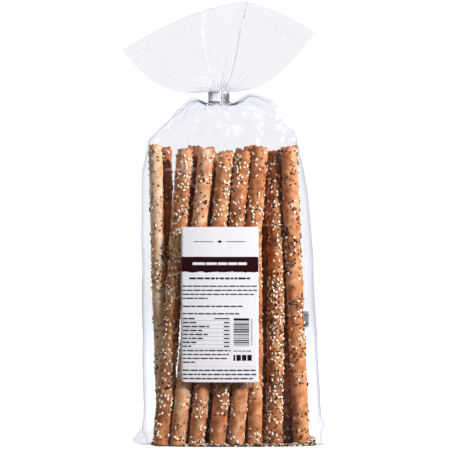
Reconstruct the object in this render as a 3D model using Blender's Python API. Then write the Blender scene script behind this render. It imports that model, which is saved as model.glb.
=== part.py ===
"""A clear bag of seeded breadsticks, gathered at the neck by a clip band.

Metres, +Z up. The bag stands on its own flat bottom, with the middle of the
overall box on the Z axis and its front towards -Y. It is one solid from the
bottom up through the neck to the flat fan of film above the band.
"""
import math

import bmesh
import bpy
from mathutils import Vector

MM = 0.001

# Bag: points round one ring, and the roundness of its corners in plan.
RING_POINTS = 60
CORNER_POWER = 2.6
STEPS_PER_STATION = 2
FAN_STEPS = 12

# Each station of the body is a ring round the bag, in millimetres:
# left edge (x, z), middle of the front and back (x, z), right edge (x, z), half depth.
BODY_STATIONS = [
    ((-60.0, 0.0), (5.0, 0.0), (73.0, 0.0), 18.5),
    ((-63.0, 1.4), (5.0, 1.4), (75.0, 1.4), 21.4),
    ((-64.4, 6.0), (5.0, 6.0), (75.4, 6.0), 23.6),
    ((-64.9, 20.0), (4.5, 20.0), (74.0, 20.0), 24.8),
    ((-65.7, 50.0), (4.0, 50.0), (72.8, 50.0), 24.9),
    ((-66.2, 112.0), (3.0, 112.0), (69.6, 112.0), 24.2),
    ((-66.8, 180.0), (1.0, 180.0), (65.7, 180.0), 22.9),
    ((-66.4, 211.0), (0.0, 211.0), (61.8, 211.0), 21.8),
    ((-63.0, 233.0), (-1.0, 233.0), (57.1, 233.0), 19.9),
    ((-56.3, 243.8), (-2.0, 243.0), (52.6, 246.0), 18.0),
    ((-44.5, 254.8), (-4.0, 251.5), (45.6, 257.0), 15.4),
    ((-36.6, 262.8), (-5.0, 257.5), (39.5, 265.6), 13.0),
    ((-30.6, 269.4), (-5.6, 262.0), (30.3, 271.8), 10.8),
    ((-24.8, 271.2), (-5.9, 264.6), (20.0, 273.6), 8.9),
    ((-17.4, 268.2), (-5.9, 266.4), (6.0, 268.2), 7.0),
]
NECK_LEFT = -13.2
NECK_RIGHT = 1.4
NECK_HALF_DEPTH = 5.2
NECK_BOTTOM = 267.6
NECK_TOP = 277.7

# Fan above the neck: each edge is a curve from the neck to the top seal,
# given by its guide point and its end, in millimetres.
FAN_LEFT = ((-54.0, 269.5), (-82.0, 310.5))
FAN_MIDDLE = ((2.0, 312.0), (14.6, 348.0))
FAN_RIGHT = ((36.0, 274.0), (69.6, 324.2))
FAN_CROWN_POWER = 1.55
FAN_HALF_THICKNESS = 1.4
FAN_FOLD_DEPTH = 5.0
FAN_FOLDS = 1.5

# Corner ears of the bottom: reach beyond the side, and height up the side.
LEFT_EAR = (9.0, 12.0)
RIGHT_EAR = (6.6, 22.0)
EAR_SHARPNESS = 0.11

# Paper label on the front.
LABEL_WIDTH = 60.0
LABEL_HEIGHT = 120.0
LABEL_CORNER = 2.2
LABEL_CENTRE = (-5.3, 111.0)
LABEL_THICKNESS = 0.3

# Small date sticker on the back, near the right edge.
STICKER_LENGTH = 26.0
STICKER_HEIGHT = 12.6
STICKER_CORNER = 2.0
STICKER_RIGHT_X = 64.5
STICKER_CENTRE_Z = 97.6
STICKER_THICKNESS = 0.3
SHEET_GAP = 0.35

# Clip band round the neck: a strip with a wire along each edge, open in front.
TIE_HEIGHT = 8.0
TIE_BOTTOM = 268.8
TIE_STRIP = 0.5
TIE_WIRE = 0.9
TIE_LEFT = -14.15
TIE_RIGHT = 2.35
TIE_HALF_DEPTH = 6.3
TIE_CORNER = 4.6
TIE_FRONT_END = -5.6
TIE_ARM_END = -7.6
TIE_CORNER_STEPS = 7


def clear_scene():
    for obj in list(bpy.data.objects):
        bpy.data.objects.remove(obj, do_unlink=True)


def material(name, colour, roughness):
    mat = bpy.data.materials.new(name)
    mat.use_nodes = True
    shader = mat.node_tree.nodes["Principled BSDF"]
    shader.inputs["Base Color"].default_value = (*colour, 1.0)
    shader.inputs["Roughness"].default_value = roughness
    shader.inputs["Metallic"].default_value = 0.0
    return mat


def add_object(name, verts, faces, mat):
    """Make one object from points in millimetres, with its faces turned out."""
    mesh = bpy.data.meshes.new(name)
    mesh.from_pydata([Vector(v) * MM for v in verts], [], faces)
    shell = bmesh.new()
    shell.from_mesh(mesh)
    bmesh.ops.recalc_face_normals(shell, faces=shell.faces)
    shell.to_mesh(mesh)
    shell.free()
    mesh.shade_smooth()
    mesh.set_sharp_from_angle(angle=math.radians(40.0))
    mesh.materials.append(mat)
    obj = bpy.data.objects.new(name, mesh)
    bpy.context.collection.objects.link(obj)
    return obj


def signed_power(value, power):
    return math.copysign(abs(value) ** power, value)


def hermite(a, b, c, d, t):
    """Smooth value between b and c, whose slopes follow their neighbours."""
    slope_b = (c - a) / 2.0
    slope_c = (d - b) / 2.0
    t2 = t * t
    t3 = t2 * t
    return ((2 * t3 - 3 * t2 + 1) * b + (t3 - 2 * t2 + t) * slope_b
            + (3 * t2 - 2 * t3) * c + (t3 - t2) * slope_c)


def flat_station(station):
    """A station as seven plain numbers: left x z, middle x z, right x z, half depth."""
    left, middle, right, half_depth = station
    return (*left, *middle, *right, half_depth)


def station_between(rows, index, t):
    a = rows[max(index - 1, 0)]
    b = rows[index]
    c = rows[min(index + 1, len(rows) - 1)]
    d = rows[min(index + 2, len(rows) - 1)]
    return tuple(hermite(*values, t) for values in zip(a, b, c, d))


def ring_point(station, angle, crown_power):
    """A point of a ring, with the angle measured from its right edge."""
    left_x, left_z, mid_x, mid_z, right_x, right_z, half_depth = station
    across = signed_power(math.cos(angle), 2.0 / CORNER_POWER)
    deep = signed_power(math.sin(angle), 2.0 / CORNER_POWER)
    side_x, side_z = (right_x, right_z) if across > 0.0 else (left_x, left_z)
    x = mid_x + (side_x - mid_x) * abs(across)
    z = mid_z + (side_z - mid_z) * abs(across) ** crown_power
    return Vector((x, half_depth * deep, z))


def ear_push(angle, z):
    """How far an ear carries a ring's edge point outwards."""
    on_right = math.cos(angle) > 0.0
    reach, height = RIGHT_EAR if on_right else LEFT_EAR
    if z >= height:
        return 0.0
    rise = math.sin(math.pi * min(1.0, (z / height) * 0.72 + 0.28)) ** 0.7
    keen = math.exp(-(math.sin(angle) / EAR_SHARPNESS) ** 2)
    push = reach * rise * keen
    return push if on_right else -push


def bezier(start, guide, end, t):
    return tuple((1 - t) ** 2 * s + 2 * t * (1 - t) * g + t * t * e
                 for s, g, e in zip(start, guide, end))


def fan_station(t):
    """A ring of the fan, from the neck at t = 0 to the top seal at t = 1."""
    middle_start = ((NECK_LEFT + NECK_RIGHT) / 2.0, NECK_TOP)
    left = bezier((NECK_LEFT, NECK_TOP), *FAN_LEFT, t)
    middle = bezier(middle_start, *FAN_MIDDLE, t)
    right = bezier((NECK_RIGHT, NECK_TOP), *FAN_RIGHT, t)
    half = FAN_HALF_THICKNESS + (NECK_HALF_DEPTH - FAN_HALF_THICKNESS) * (1.0 - t) ** 3
    return (*left, *middle, *right, half)


def fan_fold(angle, t):
    """The fan's soft zigzag in depth, which grows towards the top seal."""
    across = signed_power(math.cos(angle), 2.0 / CORNER_POWER)
    return FAN_FOLD_DEPTH * t * math.sin(math.pi * FAN_FOLDS * across)


def bag_rings():
    angles = [2.0 * math.pi * i / RING_POINTS for i in range(RING_POINTS)]
    neck = ((NECK_LEFT, NECK_BOTTOM), ((NECK_LEFT + NECK_RIGHT) / 2.0, NECK_BOTTOM),
            (NECK_RIGHT, NECK_BOTTOM), NECK_HALF_DEPTH)
    rows = [flat_station(s) for s in BODY_STATIONS + [neck]]
    rings = []
    for index in range(len(rows) - 1):
        for step in range(STEPS_PER_STATION):
            station = station_between(rows, index, step / STEPS_PER_STATION)
            ring = [ring_point(station, a, 2.0) for a in angles]
            for point, angle in zip(ring, angles):
                point.x += ear_push(angle, point.z)
            rings.append(ring)
    rings.append([ring_point(rows[-1], a, 2.0) for a in angles])
    for step in range(FAN_STEPS + 1):
        t = step / FAN_STEPS
        ring = [ring_point(fan_station(t), a, FAN_CROWN_POWER) for a in angles]
        for point, angle in zip(ring, angles):
            point.y += fan_fold(angle, t)
        rings.append(ring)
    return rings


def cap_faces(first, count):
    """Strips across one end ring, from its front points to its back points."""
    half = count // 2
    faces = [(first, first + 1, first + count - 1)]
    for i in range(1, half - 1):
        faces.append((first + i, first + i + 1, first + count - i - 1, first + count - i))
    faces.append((first + half - 1, first + half, first + half + 1))
    return faces


def make_bag(mat):
    rings = bag_rings()
    verts = [point for ring in rings for point in ring]
    faces = []
    for r in range(len(rings) - 1):
        for i in range(RING_POINTS):
            j = (i + 1) % RING_POINTS
            low = r * RING_POINTS
            high = low + RING_POINTS
            faces.append((low + i, low + j, high + j, high + i))
    faces += cap_faces(0, RING_POINTS)
    faces += cap_faces((len(rings) - 1) * RING_POINTS, RING_POINTS)
    return add_object("bag", verts, faces, mat)


def body_station(z):
    """The body's ring at a height where the rings lie level."""
    rows = [flat_station(s) for s in BODY_STATIONS]
    index = max(i for i, row in enumerate(rows) if row[1] <= z)
    low, high = 0.0, 1.0
    for _ in range(30):
        mid = (low + high) / 2.0
        if station_between(rows, index, mid)[1] < z:
            low = mid
        else:
            high = mid
    return station_between(rows, index, low)


def front_point(x, z):
    """The point of the bag's front at a given x and height."""
    left_x, _, mid_x, _, right_x, _, half_depth = body_station(z)
    side = right_x - mid_x if x > mid_x else mid_x - left_x
    share = min(1.0, abs(x - mid_x) / side)
    return Vector((x, -half_depth * (1.0 - share ** CORNER_POWER) ** (1.0 / CORNER_POWER), z))


def back_point(along, z):
    """The point of the bag's back that lies a length along its ring from the sticker's right end."""
    station = body_station(z)
    steps = 400
    curve = [ring_point(station, math.pi / 2.0 * i / steps, 2.0) for i in range(1, steps + 1)]
    start = min(range(len(curve)), key=lambda i: abs(curve[i].x - STICKER_RIGHT_X))
    travelled = 0.0
    for here, there in zip(curve[start:], curve[start + 1:]):
        span = (there - here).length
        if travelled + span >= along:
            return here.lerp(there, (along - travelled) / span)
        travelled += span
    return curve[-1]


def rounded_rows(width, height, corner, inner_rows):
    """Rows of a rounded rectangle, as (height offset, half width) from its bottom to its top."""
    steps = 4
    arc = [math.pi / 2.0 * i / steps for i in range(steps)]
    low = [(-height / 2 + corner * (1 - math.sin(a)), width / 2 - corner * (1 - math.cos(a)))
           for a in reversed(arc)]
    low.insert(0, (-height / 2, width / 2 - corner))
    inner = [(-height / 2 + corner + (height - 2 * corner) * i / inner_rows, width / 2)
             for i in range(1, inner_rows)]
    high = [(-dz, half) for dz, half in reversed(low)]
    return low + inner + high


def make_sheet(name, rows, columns, place, thickness, mat):
    """A thin plate over the bag, from rows of half widths and a function that places a point."""
    verts = []
    for offset in (SHEET_GAP, SHEET_GAP + thickness):
        for dz, half in rows:
            for i in range(columns + 1):
                verts.append(place(half * (2.0 * i / columns - 1.0), dz, offset))
    across = columns + 1
    layer = len(rows) * across
    faces = []
    for r in range(len(rows) - 1):
        for i in range(columns):
            a = r * across + i
            quad = (a, a + 1, a + across + 1, a + across)
            faces.append(quad)
            faces.append(tuple(v + layer for v in reversed(quad)))
    rim = [i for i in range(across)]
    rim += [r * across + columns for r in range(1, len(rows))]
    rim += [(len(rows) - 1) * across + i for i in reversed(range(columns))]
    rim += [r * across for r in reversed(range(1, len(rows) - 1))]
    for a, b in zip(rim, rim[1:] + rim[:1]):
        faces.append((a, b, b + layer, a + layer))
    return add_object(name, verts, faces, mat)


def make_label(mat):
    rows = rounded_rows(LABEL_WIDTH, LABEL_HEIGHT, LABEL_CORNER, 10)

    def place(dx, dz, offset):
        point = front_point(LABEL_CENTRE[0] + dx, LABEL_CENTRE[1] + dz)
        point.y -= offset
        return point

    return make_sheet("label", rows, 10, place, LABEL_THICKNESS, mat)


def make_date_sticker(mat):
    rows = rounded_rows(STICKER_LENGTH, STICKER_HEIGHT, STICKER_CORNER, 3)

    def place(dx, dz, offset):
        along = STICKER_LENGTH / 2.0 - dx
        z = STICKER_CENTRE_Z + dz
        here = back_point(along, z)
        ahead = back_point(along + 0.4, z)
        tangent = (here - ahead).normalized()
        outward = Vector((-tangent.y, tangent.x, 0.0))
        return here + outward * offset

    return make_sheet("date_sticker", rows, 12, place, STICKER_THICKNESS, mat)


def tie_path():
    """The clip band's middle line in plan, from its front end round the back to its right arm."""
    def corner(cx, cy, start):
        steps = TIE_CORNER_STEPS
        return [(cx + TIE_CORNER * math.cos(start - math.pi / 2.0 * i / steps),
                 cy + TIE_CORNER * math.sin(start - math.pi / 2.0 * i / steps))
                for i in range(steps + 1)]

    inset_left = TIE_LEFT + TIE_CORNER
    inset_right = TIE_RIGHT - TIE_CORNER
    inset_deep = TIE_HALF_DEPTH - TIE_CORNER
    path = [(TIE_FRONT_END, -TIE_HALF_DEPTH)]
    path += corner(inset_left, -inset_deep, -math.pi / 2.0)
    path += corner(inset_left, inset_deep, math.pi)
    path += corner(inset_right, inset_deep, math.pi / 2.0)
    path += [(TIE_RIGHT, TIE_ARM_END)]
    return path


def make_tie(mat):
    thick = TIE_WIRE / 2.0
    thin = TIE_STRIP / 2.0
    top = TIE_HEIGHT
    # Half of the strip's section: (thickness, height), with a wire swelling at both edges.
    side = [(thick * 0.6, 0.0), (thick, 0.3), (thick, 0.75), (thin, 1.2),
            (thin, top - 1.2), (thick, top - 0.75), (thick, top - 0.3), (thick * 0.6, top)]
    section = side + [(-w, h) for w, h in reversed(side)]
    path = [Vector((x, y, 0.0)) for x, y in tie_path()]
    verts = []
    for i, point in enumerate(path):
        before = path[max(i - 1, 0)]
        after = path[min(i + 1, len(path) - 1)]
        along = (after - before).normalized()
        out = Vector((-along.y, along.x, 0.0))
        for width, height in section:
            verts.append(point + out * width + Vector((0.0, 0.0, TIE_BOTTOM + height)))
    count = len(section)
    faces = []
    for i in range(len(path) - 1):
        for k in range(count):
            m = (k + 1) % count
            a = i * count
            faces.append((a + k, a + m, a + count + m, a + count + k))
    faces.append(tuple(range(count)))
    faces.append(tuple(range((len(path) - 1) * count, len(path) * count)))
    return add_object("tie", verts, faces, mat)


def main():
    clear_scene()
    make_bag(material("clear film over breadsticks", (0.66, 0.40, 0.23), 0.25))
    make_label(material("white label paper", (0.86, 0.85, 0.89), 0.55))
    make_date_sticker(material("grey sticker paper", (0.39, 0.42, 0.51), 0.5))
    make_tie(material("coated clip band", (0.66, 0.66, 0.70), 0.35))


main()
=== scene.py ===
"""Looks of a clear bag of seeded breadsticks: film, sticks, seeds, crumbs, label, sticker and clip band."""
import math

import bpy
import numpy as np
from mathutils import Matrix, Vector, noise


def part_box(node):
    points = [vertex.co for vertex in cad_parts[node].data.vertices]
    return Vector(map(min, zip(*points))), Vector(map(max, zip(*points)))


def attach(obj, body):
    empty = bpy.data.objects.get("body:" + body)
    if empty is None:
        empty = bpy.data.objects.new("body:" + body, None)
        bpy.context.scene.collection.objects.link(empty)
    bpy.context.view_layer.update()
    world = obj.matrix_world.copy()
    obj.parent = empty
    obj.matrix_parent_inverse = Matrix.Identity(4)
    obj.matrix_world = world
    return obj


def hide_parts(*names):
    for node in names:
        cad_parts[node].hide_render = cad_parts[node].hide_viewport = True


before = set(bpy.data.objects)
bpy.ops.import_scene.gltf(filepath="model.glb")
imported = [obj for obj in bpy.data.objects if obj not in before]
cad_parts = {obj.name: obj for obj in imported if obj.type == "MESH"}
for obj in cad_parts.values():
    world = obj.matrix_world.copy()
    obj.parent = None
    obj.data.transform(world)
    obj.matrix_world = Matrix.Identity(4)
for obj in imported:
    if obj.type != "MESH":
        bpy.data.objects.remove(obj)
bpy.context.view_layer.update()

MM = 0.001
BODY = "root"

bag_low, bag_high = (np.array(corner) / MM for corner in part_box("bag"))
label_low, label_high = (np.array(corner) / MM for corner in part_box("label"))
sticker_low, sticker_high = (np.array(corner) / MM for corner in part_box("date_sticker"))
tie_low, tie_high = (np.array(corner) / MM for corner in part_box("tie"))


# ---------------------------------------------------------------- helpers

def hex_colour(code):
    """An sRGB hex colour as linear RGBA."""
    parts = [int(code[i:i + 2], 16) / 255.0 for i in (1, 3, 5)]
    linear = [p / 12.92 if p <= 0.04045 else ((p + 0.055) / 1.055) ** 2.4 for p in parts]
    return (*linear, 1.0)


def add_node(tree, kind, settings=None, **links):
    """One node with its settings; a link is an output socket, and anything else is a value."""
    node = tree.nodes.new(kind)
    for key, value in (settings or {}).items():
        setattr(node, key, value)
    for key, value in links.items():
        name = key.replace("_", " ")
        socket = node.inputs[int(key[1:])] if key[0] == "i" and key[1:].isdigit() else node.inputs[name]
        if isinstance(value, bpy.types.NodeSocket):
            tree.links.new(value, socket)
        else:
            socket.default_value = value
    return node


def new_material(name):
    mat = bpy.data.materials.new(name)
    mat.use_nodes = True
    mat.node_tree.nodes.clear()
    return mat, mat.node_tree


def close_material(tree, shader):
    add_node(tree, "ShaderNodeOutputMaterial", Surface=shader)


def ramp(tree, factor, stops):
    """A colour ramp from (position, hex colour) stops."""
    node = add_node(tree, "ShaderNodeValToRGB", Fac=factor)
    elements = node.color_ramp.elements
    while len(elements) < len(stops):
        elements.new(0.5)
    for element, (position, code) in zip(elements, stops):
        element.position = position
        element.color = hex_colour(code)
    return node.outputs["Color"]


def smoothstep(low, high, value):
    t = np.clip((np.asarray(value, float) - low) / (high - low), 0.0, 1.0)
    return t * t * (3.0 - 2.0 * t)


def signed_power(value, power):
    return np.sign(value) * np.abs(value) ** power


def triangle(value):
    """A triangle wave of period 1, from -1 to 1: flat flanks and sharp folds."""
    return 4.0 * np.abs(value - np.floor(value + 0.5)) - 1.0


def noise_at(points, scale, seed=0.0):
    """Soft noise from -1 to 1 at points in millimetres, with features of about the given size."""
    flat = np.asarray(points, float).reshape(-1, 3) / scale + seed
    found = np.fromiter((noise.noise(Vector(p)) for p in flat), float, len(flat))
    return found.reshape(np.shape(points)[:-1])


def new_piece(name, verts, faces, mat, smooth=True):
    """A mesh from points in millimetres, riding on the bag's body."""
    mesh = bpy.data.meshes.new(name)
    mesh.from_pydata(np.asarray(verts, float) * MM, [], faces)
    mesh.validate()
    mesh.polygons.foreach_set("use_smooth", [smooth] * len(mesh.polygons))
    for one in mat if isinstance(mat, (list, tuple)) else [mat]:
        mesh.materials.append(one)
    obj = bpy.data.objects.new(name, mesh)
    bpy.context.collection.objects.link(obj)
    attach(obj, BODY)
    return obj


def set_values(obj, name, values):
    """One number for each point of a piece, which its material reads."""
    layer = obj.data.attributes.new(name, "FLOAT", "POINT")
    layer.data.foreach_set("value", np.asarray(values, np.float32).ravel())


def grid_faces(rows, columns, closed, first=0, flip=False):
    """Quads of a grid of points stored row by row; closed joins its last column to its first."""
    r = np.arange(rows - 1)[:, None]
    c = np.arange(columns if closed else columns - 1)[None, :]
    a = first + r * columns + c
    b = first + r * columns + (c + 1) % columns
    quads = np.stack([a, b, b + columns, a + columns], -1).reshape(-1, 4)
    return (quads[:, ::-1] if flip else quads).tolist()


def grid_normals(points, closed):
    """Unit normals of a grid of points, outward for rings that turn anticlockwise and rise."""
    if closed:
        across = np.roll(points, -1, 1) - np.roll(points, 1, 1)
    else:
        across = np.gradient(points, axis=1)
    up = np.gradient(points, axis=0)
    normal = np.cross(across, up)
    return normal / np.maximum(np.linalg.norm(normal, axis=-1, keepdims=True), 1e-9)


# ---------------------------------------------------------------- materials

def film_material(name, haze_low, haze_high, tint):
    """Cast polypropylene film: clear with sharp white glints, milky where it is creased or gathered, and with
    painted glints that its whiteness attribute carries.
    """
    mat, tree = new_material(name)
    place = add_node(tree, "ShaderNodeTexCoord").outputs["Object"]
    cloud = add_node(tree, "ShaderNodeTexNoise", Vector=place, Scale=70.0, Detail=3.0, Roughness=0.55)
    crease_and_glint_white = add_node(tree, "ShaderNodeAttribute", {"attribute_name": "crease_and_glint_white"}).outputs["Fac"]
    veil = add_node(tree, "ShaderNodeMapRange", Value=cloud.outputs["Fac"], From_Min=0.35, From_Max=0.7,
                    To_Min=haze_low, To_Max=haze_high).outputs["Result"]
    # The whiteness attribute adds milky haze at real creases and painted glints: white patches laid where the
    # lamps would glint.
    haze_and_glint = add_node(tree, "ShaderNodeMath", {"operation": "MULTIPLY_ADD", "use_clamp": True},
                    i0=crease_and_glint_white, i1=0.08, i2=veil).outputs[0]
    # A thin sheet mirrors alike on both its faces, so its gloss follows the angle alone.
    facing = add_node(tree, "ShaderNodeLayerWeight", Blend=0.5).outputs["Facing"]
    steep = add_node(tree, "ShaderNodeMath", {"operation": "POWER"}, i0=facing, i1=3.0).outputs[0]
    gloss = add_node(tree, "ShaderNodeMapRange", Value=steep, To_Min=0.02, To_Max=0.26).outputs["Result"]
    # Seen edge-on, the sheet takes more light away.
    veiled = ramp(tree, facing, [(0.0, tint), (0.35, tint), (0.95, "#D9DBE6")])
    clear = add_node(tree, "ShaderNodeBsdfTransparent", Color=veiled).outputs[0]
    lit = add_node(tree, "ShaderNodeBsdfDiffuse", Color=hex_colour("#FAFAFC")).outputs[0]
    through = add_node(tree, "ShaderNodeBsdfTranslucent", Color=hex_colour("#FAFAFC")).outputs[0]
    milky = add_node(tree, "ShaderNodeMixShader", i0=0.5, i1=lit, i2=through).outputs[0]
    shine = add_node(tree, "ShaderNodeBsdfGlossy", Color=hex_colour("#FFFFFF"), Roughness=0.08).outputs[0]
    body = add_node(tree, "ShaderNodeMixShader", i0=haze_and_glint, i1=clear, i2=milky).outputs[0]
    close_material(tree, add_node(tree, "ShaderNodeMixShader", i0=gloss, i1=body, i2=shine).outputs[0])
    return mat


def crust_material():
    """Oven-baked wheat crust: matt, browned unevenly, with fine pores."""
    mat, tree = new_material("baked_crust")
    place = add_node(tree, "ShaderNodeTexCoord").outputs["Object"]
    bake = add_node(tree, "ShaderNodeAttribute", {"attribute_name": "bake"}).outputs["Fac"]
    # Browning patches 6 mm wide, and grain 1.1 mm wide.
    patch = add_node(tree, "ShaderNodeTexNoise", Vector=place, Scale=1 / (6 * MM), Detail=4.0, Roughness=0.62)
    grain = add_node(tree, "ShaderNodeTexNoise", Vector=place, Scale=1 / (1.1 * MM),
                     Detail=3.0, Roughness=0.65)
    mottled = add_node(tree, "ShaderNodeMath", {"operation": "MULTIPLY_ADD"},
                       i0=patch.outputs["Fac"], i1=0.95, i2=bake).outputs[0]
    fine = add_node(tree, "ShaderNodeMath", {"operation": "MULTIPLY_ADD"},
                    i0=grain.outputs["Fac"], i1=0.34, i2=mottled).outputs[0]
    level = add_node(tree, "ShaderNodeMath", {"operation": "SUBTRACT", "use_clamp": True},
                     i0=fine, i1=0.48).outputs[0]
    colour = ramp(tree, level, [(0.08, "#F3D6B2"), (0.26, "#E6B083"), (0.44, "#D18A57"), (0.62, "#AB6436"),
                                (0.90, "#612E14")])
    pores = add_node(tree, "ShaderNodeBump", Strength=0.6, Distance=0.4 * MM,
                     Height=grain.outputs["Fac"]).outputs["Normal"]
    blister = add_node(tree, "ShaderNodeBump", Strength=0.6, Distance=1.0 * MM,
                       Height=patch.outputs["Fac"], Normal=pores).outputs["Normal"]
    rough = add_node(tree, "ShaderNodeMapRange", Value=patch.outputs["Fac"], From_Min=0.3, From_Max=0.7,
                     To_Min=0.74, To_Max=0.56).outputs["Result"]
    close_material(tree, add_node(tree, "ShaderNodeBsdfPrincipled", Base_Color=colour, Roughness=rough,
                                  IOR=1.4, Normal=blister).outputs[0])
    return mat


def seed_material(name, stops, roughness):
    """Seed coats: each seed has its own tone, with a faint mottle 0.6 mm wide and a satin sheen."""
    mat, tree = new_material(name)
    place = add_node(tree, "ShaderNodeTexCoord").outputs["Object"]
    tone = add_node(tree, "ShaderNodeAttribute", {"attribute_name": "tone"}).outputs["Fac"]
    mottle = add_node(tree, "ShaderNodeTexNoise", Vector=place, Scale=1 / (0.6 * MM), Detail=2.0)
    mixed = add_node(tree, "ShaderNodeMath", {"operation": "MULTIPLY_ADD", "use_clamp": True},
                     i0=mottle.outputs["Fac"], i1=0.25, i2=tone).outputs[0]
    colour = ramp(tree, mixed, stops)
    skin = add_node(tree, "ShaderNodeBump", Strength=0.3, Distance=0.1 * MM,
                    Height=mottle.outputs["Fac"]).outputs["Normal"]
    close_material(tree, add_node(tree, "ShaderNodeBsdfPrincipled", Base_Color=colour, Roughness=roughness,
                                  IOR=1.45, Normal=skin).outputs[0])
    return mat


def paper_material(name, pale, dark, roughness=0.42, ior=1.4, thin=0.0):
    """Coated label paper or its ink: even, with a faint fibre mottle 1.5 mm wide; thin lets light through."""
    mat, tree = new_material(name)
    place = add_node(tree, "ShaderNodeTexCoord").outputs["Object"]
    fibre = add_node(tree, "ShaderNodeTexNoise", Vector=place, Scale=1 / (1.5 * MM), Detail=3.0)
    colour = ramp(tree, fibre.outputs["Fac"], [(0.3, dark), (0.7, pale)])
    tooth = add_node(tree, "ShaderNodeBump", Strength=0.06, Distance=0.05 * MM,
                     Height=fibre.outputs["Fac"]).outputs["Normal"]
    front = add_node(tree, "ShaderNodeBsdfPrincipled", Base_Color=colour, Roughness=roughness, IOR=ior,
                     Normal=tooth).outputs[0]
    if thin:
        glow = add_node(tree, "ShaderNodeBsdfTranslucent", Color=colour).outputs[0]
        front = add_node(tree, "ShaderNodeMixShader", i0=thin, i1=front, i2=glow).outputs[0]
    close_material(tree, front)
    return mat


def clip_material(name, dark, pale):
    """Plastic-coated clip band: satin, with drawing lines 0.8 mm apart along the strip and worn patches."""
    mat, tree = new_material(name)
    place = add_node(tree, "ShaderNodeTexCoord").outputs["Object"]
    lines = add_node(tree, "ShaderNodeTexWave", {"bands_direction": "Z"}, Vector=place,
                     Scale=1 / (20 * 0.8 * MM), Distortion=1.5, Detail=2.0)
    wear = add_node(tree, "ShaderNodeTexNoise", Vector=place, Scale=1 / (1.2 * MM), Detail=3.0)
    colour = ramp(tree, wear.outputs["Fac"], [(0.3, dark), (0.7, pale)])
    rough = add_node(tree, "ShaderNodeMapRange", Value=lines.outputs["Fac"], To_Min=0.28, To_Max=0.4)
    close_material(tree, add_node(tree, "ShaderNodeBsdfPrincipled", Base_Color=colour,
                                  Roughness=rough.outputs["Result"], IOR=1.5).outputs[0])
    return mat


# ---------------------------------------------------------------- the bag's shape

# Rings of the body from the bottom up, in millimetres, as the construction model has them:
# left edge (x, z), middle (x, z), right edge (x, z), half depth.
CORNER_POWER = 2.6
BODY_STATIONS = [
    (-60.0, 0.0, 5.0, 0.0, 73.0, 0.0, 18.5),
    (-63.0, 1.4, 5.0, 1.4, 75.0, 1.4, 21.4),
    (-64.4, 6.0, 5.0, 6.0, 75.4, 6.0, 23.6),
    (-64.9, 20.0, 4.5, 20.0, 74.0, 20.0, 24.8),
    (-65.7, 50.0, 4.0, 50.0, 72.8, 50.0, 24.9),
    (-66.2, 112.0, 3.0, 112.0, 69.6, 112.0, 24.2),
    (-66.8, 180.0, 1.0, 180.0, 65.7, 180.0, 22.9),
    (-66.4, 211.0, 0.0, 211.0, 61.8, 211.0, 21.8),
    (-63.0, 233.0, -1.0, 233.0, 57.1, 233.0, 19.9),
    (-56.3, 243.8, -2.0, 243.0, 52.6, 246.0, 18.0),
    (-44.5, 254.8, -4.0, 251.5, 45.6, 257.0, 15.4),
    (-36.6, 262.8, -5.0, 257.5, 39.5, 265.6, 13.0),
    (-30.6, 269.4, -5.6, 262.0, 30.3, 271.8, 10.8),
    (-24.8, 271.2, -5.9, 264.6, 20.0, 273.6, 8.9),
    (-17.4, 268.2, -5.9, 266.4, 6.0, 268.2, 7.0),
    (-13.2, 267.6, -5.9, 267.6, 1.4, 267.6, 5.2),
]
NECK_LEFT, NECK_RIGHT = -13.2, 1.4
NECK_MIDDLE = (NECK_LEFT + NECK_RIGHT) / 2.0
NECK_HALF_DEPTH = 5.2
NECK_BOTTOM = 267.6
NECK_TOP = 277.7
SHOULDER_START = 233.0


def station_at(index, t):
    """The ring a share t of the way from one station to the next, on a smooth curve through them all."""
    rows = np.array(BODY_STATIONS)
    last = len(rows) - 1
    a, b, c, d = (rows[min(max(k, 0), last)] for k in (index - 1, index, index + 1, index + 2))
    slope_b, slope_c = (c - a) / 2.0, (d - b) / 2.0
    t2, t3 = t * t, t ** 3
    return ((2 * t3 - 3 * t2 + 1) * b + (t3 - 2 * t2 + t) * slope_b
            + (3 * t2 - 2 * t3) * c + (t3 - t2) * slope_c)


def station_at_height(z):
    rows = np.array(BODY_STATIONS)
    index = max(i for i, row in enumerate(rows) if row[1] <= z)
    low, high = 0.0, 1.0
    for _ in range(24):
        mid = (low + high) / 2.0
        low, high = (mid, high) if station_at(index, mid)[1] < z else (low, mid)
    return station_at(index, low)


def ring(station, angles, crown_power=2.0):
    """Points of one ring, with each angle measured from the right edge."""
    left_x, left_z, mid_x, mid_z, right_x, right_z, half_depth = station
    across = signed_power(np.cos(angles), 2.0 / CORNER_POWER)
    deep = signed_power(np.sin(angles), 2.0 / CORNER_POWER)
    side_x = np.where(across > 0.0, right_x, left_x)
    side_z = np.where(across > 0.0, right_z, left_z)
    x = mid_x + (side_x - mid_x) * np.abs(across)
    z = mid_z + (side_z - mid_z) * np.abs(across) ** crown_power
    return np.stack([x, half_depth * deep, z], -1)


def ear_push(angles, z):
    """How far the bottom's corner ears carry the film outwards."""
    on_right = np.cos(angles) > 0.0
    reach = np.where(on_right, 6.6, 9.0)
    height = np.where(on_right, 22.0, 12.0)
    rise = np.sin(np.pi * np.clip(z / height * 0.72 + 0.28, 0.0, 1.0)) ** 0.7
    keen = np.exp(-(np.sin(angles) / 0.11) ** 2)
    return np.where(z < height, reach * rise * keen, 0.0) * np.where(on_right, 1.0, -1.0)


def crumpled_ears(points, push):
    """The ears bent this way and that, with folds a few millimetres long."""
    share = np.clip(np.abs(push) / 7.0, 0.0, 1.0)
    where = points * (1.0, 0.25, 1.0)
    points[..., 0] += push * (0.85 + 0.35 * noise_at(where, 6.0, 21.0))
    points[..., 1] += share * (4.5 * noise_at(where, 8.0, 22.0) + 1.6 * triangle(points[..., 2] / 5.3))
    points[..., 2] += share * 1.6 * noise_at(where, 6.0, 23.0) * smoothstep(0.5, 4.0, points[..., 2])
    return share


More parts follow.
